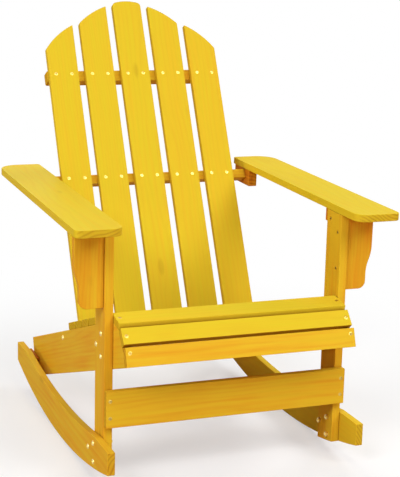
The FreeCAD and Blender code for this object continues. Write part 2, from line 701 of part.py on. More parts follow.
def make_bracket(name, side, bores):
    """A bracket under an arm, its outer edge sawn to an S-curve."""
    foot = "-bracket_height"
    bend = "-bracket_straight"
    waist = "-bracket_straight - bracket_sweep"
    narrow = "(bracket_width - bracket_waist)"
    midway = ("(bracket_width - bracket_waist / 2)", "-bracket_straight - bracket_sweep / 2")
    if side > 0:
        corners = [("0", foot), (narrow, foot), (narrow, waist, "-sweep_radius"),
                   (*midway, "sweep_radius"), ("bracket_width", bend), ("bracket_width", "0"),
                   ("0", "0")]
    else:
        corners = [("0", "0"), ("-bracket_width", "0"), ("-bracket_width", bend, "sweep_radius"),
                   ("-" + midway[0], midway[1], "-sweep_radius"), ("-" + narrow, waist),
                   ("-" + narrow, foot), ("0", foot)]
    bracket = board(name, "XZ_Plane", corners, "post_thickness",
                    f"arm_frame * {at(f'{side} * rocker_inner', 'bracket_setback')}",
                    [(f"{side} * {narrow}", foot, "bracket_foot")], backwards=True)
    drilled(name, bracket, [bores["bracket_screws"]])


def make_side(word, side, bores):
    """The pieces on one side of the chair."""
    make_rocker(f"rocker_{word}", side, bores)
    make_leg(f"leg_{word}", side, bores)
    make_seat_rail(f"seat_rail_{word}", side, bores)
    make_arm(f"arm_{word}", side, bores)
    make_bracket(f"arm_bracket_{word}", side, bores)
    cleat = block(f"arm_cleat_{word}", ("cleat_thickness", "cleat_length", "cleat_height"),
                  "arm_frame * " + at(between(side, "rocker_inner", "cleat_thickness"),
                                      "cleat_front", "-cleat_height"))
    drilled(f"arm_cleat_{word}", cleat, [bores["cleat_screws"], bores["cleat_arm_screws"]])
    rest_block = block(f"arm_block_{word}", ("block_thickness", "block_length", "block_height"),
                       "arm_frame * " + at(between(side, "block_inner", "block_thickness"),
                                           "block_front", "-block_height"))
    drilled(f"arm_block_{word}", rest_block, [bores["block_arm_screws"], bores["arm_rail_screws"]])
    spacer = block(f"rear_spacer_{word}", ("post_thickness", "spacer_length",
                                           "spacer_top - spacer_floor"),
                   at(between(side, "leg_inner", "post_thickness"), "spacer_front", "spacer_floor"))
    drilled(f"rear_spacer_{word}", spacer, [bores["spacer_screws"]])


def settle():
    """Turn the chair on its rockers until its centre of mass is over the floor contact."""
    mass = 0
    moment = Vector(0, 0, 0)
    for name, piece in nodes.items():
        for solid in piece.Shape.Solids:
            mass += solid.Volume * densities[name]
            moment += solid.CenterOfMass * (solid.Volume * densities[name])
    middle = moment * (1 / mass)
    axis = Vector(0, value("rocker_middle"), value("rocker_radius"))
    lean = math.atan2(middle.y - axis.y, axis.z - middle.z)
    turn = FreeCAD.Rotation(Vector(1, 0, 0), -math.degrees(lean))
    pose = FreeCAD.Placement(axis, turn) * FreeCAD.Placement(-axis, FreeCAD.Rotation())
    span = FreeCAD.BoundBox()
    for piece in nodes.values():
        shape = piece.Shape.copy()
        shape.Placement = pose.multiply(shape.Placement)
        span.add(shape.optimalBoundingBox(False, False))
    shift = FreeCAD.Placement(Vector(0, -span.Center.y, -span.ZMin), FreeCAD.Rotation())
    rest.resting_pose = shift.multiply(pose)
    doc.recompute()
    print(f"mass {mass:.2f} kg, leaning back {math.degrees(lean):.2f} degrees")
    print(f"size {span.XLength:.1f} x {span.YLength:.1f} x {span.ZLength:.1f} mm")


def check():
    """Stop if any object failed, or any finished piece isn't sound."""
    failed = [item.Label for item in doc.Objects if {"Invalid", "Error"} & set(item.State)]
    for name, piece in nodes.items():
        if piece.Shape.isNull() or not piece.Shape.isValid() or not piece.Shape.Solids:
            failed.append(name)
    if failed:
        raise RuntimeError("not sound: " + ", ".join(failed))


fill_sheet()
add_frames()
holes = make_fasteners()
for side_word, side_sign in SIDES:
    make_side(side_word, side_sign, holes)
make_seat(holes)
make_back(holes)
doc.recompute()
check()
settle()
check()
os.makedirs("parts", exist_ok=True)
for node_name, node_piece in nodes.items():
    node_piece.Shape.exportStep(f"parts/{node_name}.step")
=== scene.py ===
import logging
import math
import random
from dataclasses import dataclass, field
from enum import Enum
from typing import Callable, Iterable, Sequence

import bmesh
import bpy
import numpy as np
from mathutils import Matrix, Vector


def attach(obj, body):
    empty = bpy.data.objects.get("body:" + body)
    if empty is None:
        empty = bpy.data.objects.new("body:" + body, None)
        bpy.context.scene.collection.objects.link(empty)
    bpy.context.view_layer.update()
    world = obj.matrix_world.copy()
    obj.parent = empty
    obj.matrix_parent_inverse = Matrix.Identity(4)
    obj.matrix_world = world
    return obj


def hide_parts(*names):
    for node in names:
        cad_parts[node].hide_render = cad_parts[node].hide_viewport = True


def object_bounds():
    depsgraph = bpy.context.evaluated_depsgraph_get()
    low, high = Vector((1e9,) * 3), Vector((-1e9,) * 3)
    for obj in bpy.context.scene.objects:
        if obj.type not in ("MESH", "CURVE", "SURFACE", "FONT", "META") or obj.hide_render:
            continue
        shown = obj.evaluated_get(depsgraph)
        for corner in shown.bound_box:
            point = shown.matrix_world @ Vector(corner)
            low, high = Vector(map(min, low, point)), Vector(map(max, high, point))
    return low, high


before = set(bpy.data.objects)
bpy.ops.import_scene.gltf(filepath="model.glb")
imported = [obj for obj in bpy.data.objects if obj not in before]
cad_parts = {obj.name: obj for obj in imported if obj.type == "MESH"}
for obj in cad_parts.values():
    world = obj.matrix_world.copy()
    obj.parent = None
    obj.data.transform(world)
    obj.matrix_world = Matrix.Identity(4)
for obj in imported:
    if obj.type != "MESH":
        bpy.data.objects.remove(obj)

LOG = logging.getLogger("rocking_chair")
MM = 0.001
CAD_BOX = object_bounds()

# The boards' slopes in the shared frame, in degrees about X, with the empty chair at rest
REST_TILT = 0.368
SEAT_PITCH = -18.853 + REST_TILT
BACK_PITCH = -26.893 + REST_TILT
ARM_PITCH = 1.14 + REST_TILT


class Grain(Enum):
    """Which way the grain of a board runs: the axis that it starts from, and its pitch."""

    ACROSS = ("x", 0.0)
    LENGTHWISE = ("y", REST_TILT)
    ARM = ("y", ARM_PITCH)
    SEAT_RAIL = ("y", SEAT_PITCH)
    UPRIGHT = ("z", REST_TILT)
    BACK = ("z", BACK_PITCH)

    @property
    def direction(self) -> Vector:
        """Unit vector along the grain, in the shared frame."""
        axis, pitch = self.value
        start = {"x": Vector((1, 0, 0)), "y": Vector((0, 1, 0)), "z": Vector((0, 0, 1))}[axis]
        return Matrix.Rotation(math.radians(pitch), 3, "X") @ start


class Tone(Enum):
    """How much stain a board took up, from 0 to 1, and how unevenly."""

    LEMON = (0.05, 0.9)
    PALE = (0.08, 0.9)
    HONEY = (0.20, 0.9)
    EVEN = (0.44, 0.9)
    AMBER = (0.57, 1.0)
    DEEP = (0.77, 1.3)

    @property
    def uptake(self) -> float:
        """Mean share of stain."""
        return self.value[0]

    @property
    def contrast(self) -> float:
        """Strength of the streaks and blotches."""
        return self.value[1]


class Drive(Enum):
    """The outline of the recess in a fastener's head."""

    CROSS = "cross"
    HEX = "hex"


class Value:
    """A shader socket that takes part in arithmetic, each operator adding a Math node."""

    def __init__(self, shader: "NodeTree", socket: bpy.types.NodeSocket) -> None:
        """Wrap an output socket of a node tree."""
        self.shader = shader
        self.socket = socket

    def _math(self, operation: str, *terms: "Value | float", clamp: bool = False) -> "Value":
        """Add a Math node for an operation on this value and others."""
        return self.shader.add("ShaderNodeMath", {"operation": operation, "use_clamp": clamp},
                               dict(enumerate(terms)))

    def __add__(self, other: "Value | float") -> "Value":
        """Sum."""
        return self._math("ADD", self, other)

    def __radd__(self, other: float) -> "Value":
        """Sum, with the number first."""
        return self._math("ADD", other, self)

    def __sub__(self, other: "Value | float") -> "Value":
        """Difference."""
        return self._math("SUBTRACT", self, other)

    def __rsub__(self, other: float) -> "Value":
        """Difference from a number."""
        return self._math("SUBTRACT", other, self)

    def __mul__(self, other: "Value | float") -> "Value":
        """Product."""
        return self._math("MULTIPLY", self, other)

    def __rmul__(self, other: float) -> "Value":
        """Product, with the number first."""
        return self._math("MULTIPLY", other, self)

    def __pow__(self, other: float) -> "Value":
        """Power."""
        return self._math("POWER", self, other)

    def clamped(self) -> "Value":
        """The value held between 0 and 1."""
        return self._math("ADD", self, 0.0, clamp=True)

    def sine(self) -> "Value":
        """Sine of the value."""
        return self._math("SINE", self)

    def root(self) -> "Value":
        """Square root of the value."""
        return self._math("SQRT", self)

    def magnitude(self) -> "Value":
        """The value without its sign."""
        return self._math("ABSOLUTE", self)

    def ramp(self, low: float, high: float) -> "Value":
        """Go smoothly from 0 at one value to 1 at another.

        Args:
            low: value that gives 0.
            high: value that gives 1.

        Returns:
            The eased share.
        """
        return self.shader.add("ShaderNodeMapRange", {"interpolation_type": "SMOOTHSTEP"},
                               {"Value": self, "From Min": low, "From Max": high})


class NodeTree:
    """A node tree, with one method that adds any node."""

    def __init__(self, tree: bpy.types.NodeTree) -> None:
        """Keep the tree."""
        self.tree = tree

    def add(self, kind: str, settings: dict, inputs: dict, output: int | str = 0) -> Value:
        """Add a node, its settings first.

        Args:
            kind: the node's type.
            settings: properties to set first, with a ramp's stops under "stops".
            inputs: values or links of its sockets, by name or number.
            output: the output socket to return.

        Returns:
            The chosen output as a value.
        """
        node = self.tree.nodes.new(kind)
        for name, setting in settings.items():
            if name == "stops":
                elements = node.color_ramp.elements
                while len(elements) < len(setting):
                    elements.new(0.5)
                for element, (place, colour) in zip(elements, setting):
                    element.position = place
                    element.color = (*colour, 1.0)
            else:
                setattr(node, name, setting)
        for name, value in inputs.items():
            self.plug(node.inputs[name], value)
        return Value(self, node.outputs[output])

    def plug(self, socket: bpy.types.NodeSocket, value: object) -> None:
        """Link or set one input socket."""
        if isinstance(value, Value):
            self.tree.links.new(value.socket, socket)
        else:
            socket.default_value = value

    def seen(self) -> Value:
        """Whether the camera, gloss or glass sees the surface directly."""
        path = self.tree.nodes.new("ShaderNodeLightPath")
        rays = [Value(self, path.outputs[name])
                for name in ("Is Camera Ray", "Is Glossy Ray", "Is Transmission Ray")]
        return (rays[0] + rays[1] + rays[2]).clamped()


class Shader(NodeTree):
    """A material's node tree and its Principled surface."""

    def __init__(self, name: str) -> None:
        """Start an empty material with a Principled surface."""
        self.material = bpy.data.materials.new(name)
        self.material.use_nodes = True
        super().__init__(self.material.node_tree)
        self.tree.nodes.clear()
        self.surface = self.tree.nodes.new("ShaderNodeBsdfPrincipled")
        output = self.tree.nodes.new("ShaderNodeOutputMaterial")
        self.tree.links.new(self.surface.outputs[0], output.inputs["Surface"])

    def finish(self, **inputs: object) -> bpy.types.Material:
        """Set the Principled surface's sockets, and return the material."""
        for name, value in inputs.items():
            self.plug(self.surface.inputs[name.replace("_", " ")], value)
        return self.material

    def place(self, turn: Vector = Vector(), shift: Vector = Vector()) -> Value:
        """Object coordinates in metres, turned and then shifted."""
        spot = self.add("ShaderNodeTexCoord", {}, {}, "Object")
        return self.add("ShaderNodeMapping", {"vector_type": "POINT"},
                        {"Vector": spot, "Rotation": turn, "Location": shift})

    def stretched(self, spot: Value, scale: Sequence[float]) -> Value:
        """Coordinates multiplied along each axis."""
        return self.add("ShaderNodeVectorMath", {"operation": "MULTIPLY"}, {0: spot, 1: scale})

    def noise(self, spot: Value, scale: Sequence[float], detail: float = 3.0,
              rough: float = 0.5) -> Value:
        """Noise from 0 to 1.

        Args:
            spot: coordinates in metres.
            scale: features per metre along each axis.
            detail: how many finer octaves are added.
            rough: strength of each octave against the one before.

        Returns:
            The noise.
        """
        return self.add("ShaderNodeTexNoise", {}, {
            "Vector": self.stretched(spot, scale), "Scale": 1.0, "Detail": detail,
            "Roughness": rough})

    def blend(self, share: Value | float, first: object, second: object) -> Value:
        """Mix two colours."""
        return self.add("ShaderNodeMix", {"data_type": "RGBA"}, {0: share, 6: first, 7: second}, 2)

    def bump(self, height: Value, depth: float, strength: float) -> Value:
        """A normal from a height between 0 and 1, its depth in metres."""
        return self.add("ShaderNodeBump", {},
                        {"Height": height, "Distance": depth, "Strength": strength})


@dataclass(frozen=True)
class StainedWood:
    """Softwood under a yellow stain: growth rings, fibres, blotches, small knots and end grain,
    with painted shade darkening crevices and the places between parts.
    """

    grain: Grain
    tone: Tone
    seed: int
    pale: tuple[float, float, float] = (0.76, 0.565, 0.025)
    gold: tuple[float, float, float] = (0.81, 0.51, 0.026)
    deep: tuple[float, float, float] = (0.79, 0.315, 0.016)
    dark: tuple[float, float, float] = (0.55, 0.17, 0.010)
    # Dark brown that grain, knots and end grain mix towards; the painted shade in crevices mixes
    # towards it too.
    grain_and_shade_brown: tuple[float, float, float] = (0.27, 0.055, 0.006)
    stops: tuple[float, float, float, float] = (0.0, 0.4, 0.76, 1.0)
    board_spread: float = 0.04
    blotch_stain: float = 0.62
    streak_stain: float = 0.58
    ring_stain: float = 0.05
    stain_bias: float = 0.01

    fibre_scale: tuple[float, float, float] = (14, 620, 620)
    streak_scale: tuple[float, float, float] = (3.0, 125, 125)
    blotch_scale: tuple[float, float, float] = (5, 17, 17)
    knot_scale: tuple[float, float, float] = (4.2, 11, 11)
    knot_edge: tuple[float, float] = (0.045, 0.115)
    knot_strength: float = 0.8
    end_slope: tuple[float, float] = (0.55, 0.95)

    ring_spacing: float = 7.0 * MM
    ring_sharpness: float = 2.2
    waver_scale: tuple[float, float, float] = (1.6, 9, 9)
    waver_rings: float = 8
    heart_side: tuple[float, float] = (-0.05, 0.05)
    heart_depth: tuple[float, float] = (0.03, 0.09)

    ring_shade: float = 0.04
    fibre_shade: float = 0.20
    knot_shade: float = 0.22
    end_shade: float = 0.20
    end_ring_shade: float = 0.24
    # Painted shade: where ambient occlusion within this reach is low, in crevices and between
    # parts, the colour darkens towards brown.
    painted_crevice_shade: float = 0.60
    painted_shade_reach: float = 14 * MM
    painted_shade_slope: tuple[float, float] = (0.80, 0.15)

    roughness: float = 0.50
    streak_gloss: float = 0.16
    end_gloss: float = 0.14
    sheen: float = 0.015
    fibre_relief: float = 0.55
    ring_relief: float = 0.25
    knot_relief: float = 0.2
    relief_depth: float = 0.05 * MM
    relief_strength: float = 0.5

    def make(self) -> bpy.types.Material:
        """Build the material for one board.

        Returns:
            A material whose pattern runs along the board's grain.
        """
        draw = random.Random(self.seed)
        shader = Shader(f"stained_wood_{self.seed:02d}")
        turn = Vector(self.grain.direction.rotation_difference(Vector((1, 0, 0))).to_euler())
        shift = Vector([draw.uniform(-9, 9) for _ in range(3)])
        spot = shader.place(turn, shift)
        heart = shader.place(turn, Vector((0, draw.uniform(*self.heart_side),
                                           draw.uniform(*self.heart_depth))))
        rings = self.rings(shader, spot, heart)
        fibre = shader.noise(spot, self.fibre_scale, 4.0, 0.6)
        streak = shader.noise(spot, self.streak_scale, 3.0, 0.6)
        blotch = shader.noise(spot, self.blotch_scale, 2.0, 0.5)
        knot = self.knots(shader, spot)
        ends = self.end_grain(shader)
        # Ambient occlusion, read only to paint shade into the colour.
        occlusion_for_painted_shade = shader.add("ShaderNodeAmbientOcclusion", {"samples": 8},
                              {"Distance": self.painted_shade_reach}, "AO")

        contrast = self.tone.contrast
        uneven = ((blotch - 0.5) * self.blotch_stain + (streak - 0.5) * self.streak_stain
                  + rings * self.ring_stain - self.stain_bias)
        board = self.tone.uptake + draw.uniform(-self.board_spread, self.board_spread)
        stains = zip(self.stops, (self.pale, self.gold, self.deep, self.dark))
        stain = shader.add("ShaderNodeValToRGB", {"stops": list(stains)},
                           {"Fac": board + uneven * contrast})
        # Mix towards brown: real grain, knots and end grain, plus painted shade from the
        # occlusion.
        grain_and_painted_shade = ((rings * self.ring_shade + (0.5 - fibre) * self.fibre_shade) * contrast
                 + knot * self.knot_shade
                 + ends * (self.end_shade + rings * self.end_ring_shade)
                 + occlusion_for_painted_shade.ramp(*self.painted_shade_slope) * self.painted_crevice_shade).clamped()

        height = (fibre * self.fibre_relief + rings * self.ring_relief
                  + knot * self.knot_relief)
        gloss = self.roughness + (streak - 0.5) * self.streak_gloss + ends * self.end_gloss
        return shader.finish(
            Base_Color=shader.blend(grain_and_painted_shade, stain, (*self.grain_and_shade_brown, 1)),
            Roughness=gloss.clamped(), Specular_IOR_Level=self.sheen,
            Normal=shader.bump(height, self.relief_depth, self.relief_strength))

    def rings(self, shader: Shader, spot: Value, heart: Value) -> Value:
        """Growth rings about the log's heart, wavering along the board.

        Args:
            shader: the board's material.
            spot: the board's own coordinates, which the waver follows.
            heart: coordinates whose X axis is the heart of the log.

        Returns:
            Share of dense late wood, 0 to 1.
        """
        waver = shader.noise(spot, self.waver_scale, 2.0, 0.45)
        parts = shader.add("ShaderNodeSeparateXYZ", {}, {0: heart}, "Y")
        rise = Value(shader, parts.socket.node.outputs["Z"])
        radius = (parts * parts + rise * rise).root()
        turns = ((radius + waver * (self.waver_rings * self.ring_spacing))
                 * (math.tau / self.ring_spacing))
        return ((turns.sine() + 1.0) * 0.5) ** self.ring_sharpness

    def knots(self, shader: Shader, spot: Value) -> Value:
        """A few small knots, drawn out along the grain."""
        cell = shader.add("ShaderNodeTexVoronoi", {"feature": "F1"},
                          {"Vector": shader.stretched(spot, self.knot_scale), "Scale": 1.0})
        return (1.0 - cell.ramp(*self.knot_edge)) * self.knot_strength

    def end_grain(self, shader: Shader) -> Value:
        """Share of a face that cuts across the fibres, as at a board's ends."""
        normal = shader.add("ShaderNodeNewGeometry", {}, {}, "Normal")
        along = shader.add("ShaderNodeVectorMath", {"operation": "DOT_PRODUCT"},
                           {0: normal, 1: self.grain.direction}, "Value")
        return along.magnitude().ramp(*self.end_slope)


@dataclass(frozen=True)
class PlatedMetal:
    """Bright zinc plating with fine tumbling marks and dull patches."""

    name: str
    colour: tuple[float, float, float]
    dull: tuple[float, float, float]
    roughness: float = 0.34
    patch_scale: float = 260
    patch_slope: tuple[float, float] = (0.42, 0.70)
    patch_gloss: float = 0.30
    mark_scale: float = 2600
    relief_depth: float = 0.03 * MM
    relief_strength: float = 0.5

    def make(self) -> bpy.types.Material:
        """Build the material of the screws or of the bolts."""
        shader = Shader(self.name)
        spot = shader.place()
        patch = shader.noise(spot, [self.patch_scale] * 3, 3.0, 0.6)
        marks = shader.noise(spot, [self.mark_scale] * 3, 2.0, 0.6)
        colour = shader.blend(patch.ramp(*self.patch_slope), (*self.colour, 1), (*self.dull, 1))
        gloss = self.roughness + (patch - 0.5) * self.patch_gloss
        return shader.finish(Base_Color=colour, Metallic=1.0, Roughness=gloss.clamped(),
                             Normal=shader.bump(marks, self.relief_depth, self.relief_strength))


BRASS = PlatedMetal("yellow_zinc", (0.78, 0.56, 0.14), (0.52, 0.33, 0.07))
STEEL = PlatedMetal("bright_zinc", (0.86, 0.68, 0.25), (0.56, 0.41, 0.14))


@dataclass(frozen=True)
class Axis:
    """One fastener's axis: the middle of its head's end, the way out, and its length."""

    head: Vector
    out: Vector
    length: float

    def distance(self, spot: Vector) -> float:
        """How far a point is from the axis, or from the nearer end of it."""
        along = max(-self.length, min(0.0, (spot - self.head).dot(self.out)))
        return (spot - self.head - self.out * along).length

    def matrix(self, spin: float) -> Matrix:
        """Turn +Z to the way out, spun about it, at the head."""
        turn = Vector((0, 0, 1)).rotation_difference(self.out).to_matrix().to_4x4()
        return Matrix.Translation(self.head) @ turn @ Matrix.Rotation(spin, 4, "Z")


def in_order(axes: Iterable[Axis]) -> list[Axis]:
    """Sort axes from left to right, front to back and up."""
    return sorted(axes, key=lambda axis: tuple(round(part, 4) for part in axis.head))


def merged(node: str) -> bmesh.types.BMesh:
    """Copy a CAD node's mesh, with its triangles joined at their corners."""
    mesh = bmesh.new()
    mesh.from_mesh(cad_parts[node].data)
    bmesh.ops.remove_doubles(mesh, verts=mesh.verts, dist=1e-6)
    return mesh


def islands(mesh: bmesh.types.BMesh) -> list[list[Vector]]:
    """Split a mesh into its separate solids, as lists of points."""
    left = set(mesh.verts)
    found = []
    while left:
        stack = [left.pop()]
        group = []
        while stack:
            vertex = stack.pop()
            group.append(vertex.co.copy())
            for edge in vertex.link_edges:
                other = edge.other_vert(vertex)
                if other in left:
                    left.remove(other)
                    stack.append(other)
        found.append(group)
    return found


def axes_of(node: str) -> list[Axis]:
    """Find the axis of every screw or bolt in a CAD node.

    Args:
        node: a node that is a group of long fasteners.

    Returns:
        Their axes, from left to right, front to back and up.
    """
    mesh = merged(node)
    axes = []
    for group in islands(mesh):
        points = np.array(group, float)
        middle = points.mean(0)
        along = np.linalg.eigh(np.cov((points - middle).T))[1][:, -1]
        places = (points - middle) @ along
        radii = np.linalg.norm(points - middle - np.outer(places, along), axis=1)
        if places[radii.argmax()] < 0:
            along, places = -along, -places
        axes.append(Axis(Vector(middle + along * places.max()), Vector(along),
                         float(np.ptp(places))))
    mesh.free()
    return in_order(axes)


def object_from(mesh: bmesh.types.BMesh, name: str) -> bpy.types.Object:
    """Turn a bmesh into a smooth-shaded object at the origin."""
    data = bpy.data.meshes.new(name)
    mesh.to_mesh(data)
    mesh.free()
    data.shade_smooth()
    piece = bpy.data.objects.new(name, data)
    bpy.context.scene.collection.objects.link(piece)
    return piece


def stand_for(piece: bpy.types.Object, node: str,
              finish: bpy.types.Material) -> None:
    """Dress a piece, put it in a CAD node's place, and report it.

    Args:
        piece: the Blender object.
        node: the CAD node that it replaces.
        finish: its material.
    """
    piece.data.materials.clear()
    piece.data.materials.append(finish)
    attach(piece, "root")
    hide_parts(node)
    LOG.info("%s: %d faces", piece.name, len(piece.data.polygons))


@dataclass
class Joinery:
    """The fasteners' axes, which tell a board's bores from its own edges."""

    screw_nodes: Sequence[str] = (
        "seat_screws", "apron_screws", "stretcher_screws", "back_screws", "spacer_screws",
        "bracket_screws", "cleat_screws", "cleat_arm_screws", "block_arm_screws",
        "arm_rail_screws")
    bolt_nodes: Sequence[str] = ("rocker_bolts", "leg_bolts", "back_rail_bolts")
    nut_nodes: Sequence[str] = ("rocker_nuts", "leg_nuts")
    bore_reach: float = 5.2 * MM
    axes: dict[str, list[Axis]] = field(default_factory=dict)

    def __post_init__(self) -> None:
        """Read every axis from the frame."""
        for node in (*self.screw_nodes, *self.bolt_nodes):
            self.axes[node] = axes_of(node)

    def is_bore(self, edge: bmesh.types.BMEdge) -> bool:
        """Whether an edge is the rim of a bore."""
        middle = (edge.verts[0].co + edge.verts[1].co) * 0.5
        return any(axis.distance(middle) < self.bore_reach
                   for group in self.axes.values() for axis in group)


@dataclass
class Carpentry:
    """Cuts the boards: copies of the CAD nodes with their edges eased.

    The count of boards made so far seeds each board's own grain.
    """

    joinery: Joinery
    easing: float = 1.6 * MM
    fine_easing: float = 0.8 * MM
    fine_nodes: Sequence[str] = ("apron", "nose_slat")
    easing_steps: int = 3
    sharp: float = math.radians(28)
    flat: float = math.radians(0.4)
    face_weight: int = 100
    count: int = 0

    def board(self, node: str, grain: Grain, tone: Tone) -> bpy.types.Object:
        """Make one board.

        Args:
            node: the CAD node that it stands for.
            grain: which way its grain runs.
            tone: how much stain it took up.

        Returns:
            The finished piece.
        """
        mesh = merged(node)
        bmesh.ops.dissolve_limit(mesh, angle_limit=self.flat, use_dissolve_boundaries=False,
                                 verts=mesh.verts, edges=mesh.edges)
        edges = [edge for edge in mesh.edges if edge.is_manifold
                 and edge.calc_face_angle(0.0) > self.sharp and not self.joinery.is_bore(edge)]
        easing = self.fine_easing if node in self.fine_nodes else self.easing
        bmesh.ops.bevel(mesh, geom=edges, offset=easing, offset_type="OFFSET",
                        segments=self.easing_steps, profile=0.5, affect="EDGES", material=-1,
                        clamp_overlap=False)
        for edge in mesh.edges:
            if edge.is_manifold and edge.calc_face_angle(0.0) > self.sharp:
                edge.smooth = False
        piece = object_from(mesh, node + "_board")
        normals = piece.modifiers.new("even_shading", "WEIGHTED_NORMAL")
        normals.keep_sharp = True
        normals.weight = self.face_weight
        self.count += 1
        stand_for(piece, node, StainedWood(grain, tone, self.count).make())
        return piece


@dataclass
class Rockers:
    """The two runners, and the spacers between them and the seat rails."""

    sides: Sequence[str] = ("left", "right")
    tones: dict[str, Tone] = field(
        default_factory=lambda: {"left": Tone.EVEN, "right": Tone.HONEY})

    def build(self, shop: Carpentry) -> None:
        """Make the runners and spacers."""
        for side in self.sides:
            shop.board(f"rocker_{side}", Grain.LENGTHWISE, self.tones[side])
            shop.board(f"rear_spacer_{side}", Grain.LENGTHWISE, Tone.DEEP)


@dataclass
class Stand:
    """The legs, the stretcher between them and the seat rails."""

    sides: Sequence[str] = ("left", "right")

    def build(self, shop: Carpentry) -> None:
        """Make the upright and sloping members."""
        for side in self.sides:
            shop.board(f"leg_{side}", Grain.UPRIGHT, Tone.EVEN)
            shop.board(f"seat_rail_{side}", Grain.SEAT_RAIL, Tone.EVEN)
        shop.board("front_stretcher", Grain.ACROSS, Tone.EVEN)


@dataclass
class Seat:
    """The seat's slats and the apron under its nose."""

    flat_slats: int = 6

    def build(self, shop: Carpentry) -> None:
        """Make the slats from the nose to the back."""
        shop.board("apron", Grain.ACROSS, Tone.EVEN)
        shop.board("nose_slat", Grain.ACROSS, Tone.PALE)
        shop.board("fore_slat", Grain.ACROSS, Tone.PALE)
        for number in range(1, self.flat_slats + 1):
            shop.board(f"seat_slat_{number}", Grain.ACROSS, Tone.PALE)


@dataclass
class Back:
    """The fan of back slats and the rails behind them."""

    slats: int = 5
    honey_slats: Sequence[int] = (4, 5)
    rails: Sequence[str] = ("upper_back_rail", "arm_back_rail", "lower_back_rail")

    def build(self, shop: Carpentry) -> None:
        """Make the slats and rails."""
        for number in range(1, self.slats + 1):
            tone = Tone.HONEY if number in self.honey_slats else Tone.PALE
            shop.board(f"back_slat_{number}", Grain.BACK, tone)
        for rail in self.rails:
            shop.board(rail, Grain.ACROSS, Tone.EVEN)


@dataclass
class Arms:
    """The arm boards and the brackets, cleats and blocks that carry them."""

    sides: Sequence[str] = ("left", "right")

    def build(self, shop: Carpentry) -> None:
        """Make both arms."""
        for side in self.sides:
            shop.board(f"arm_{side}", Grain.ARM, Tone.LEMON)
            shop.board(f"arm_bracket_{side}", Grain.UPRIGHT, Tone.AMBER)
            shop.board(f"arm_cleat_{side}", Grain.ARM, Tone.DEEP)
            shop.board(f"arm_block_{side}", Grain.ARM, Tone.DEEP)


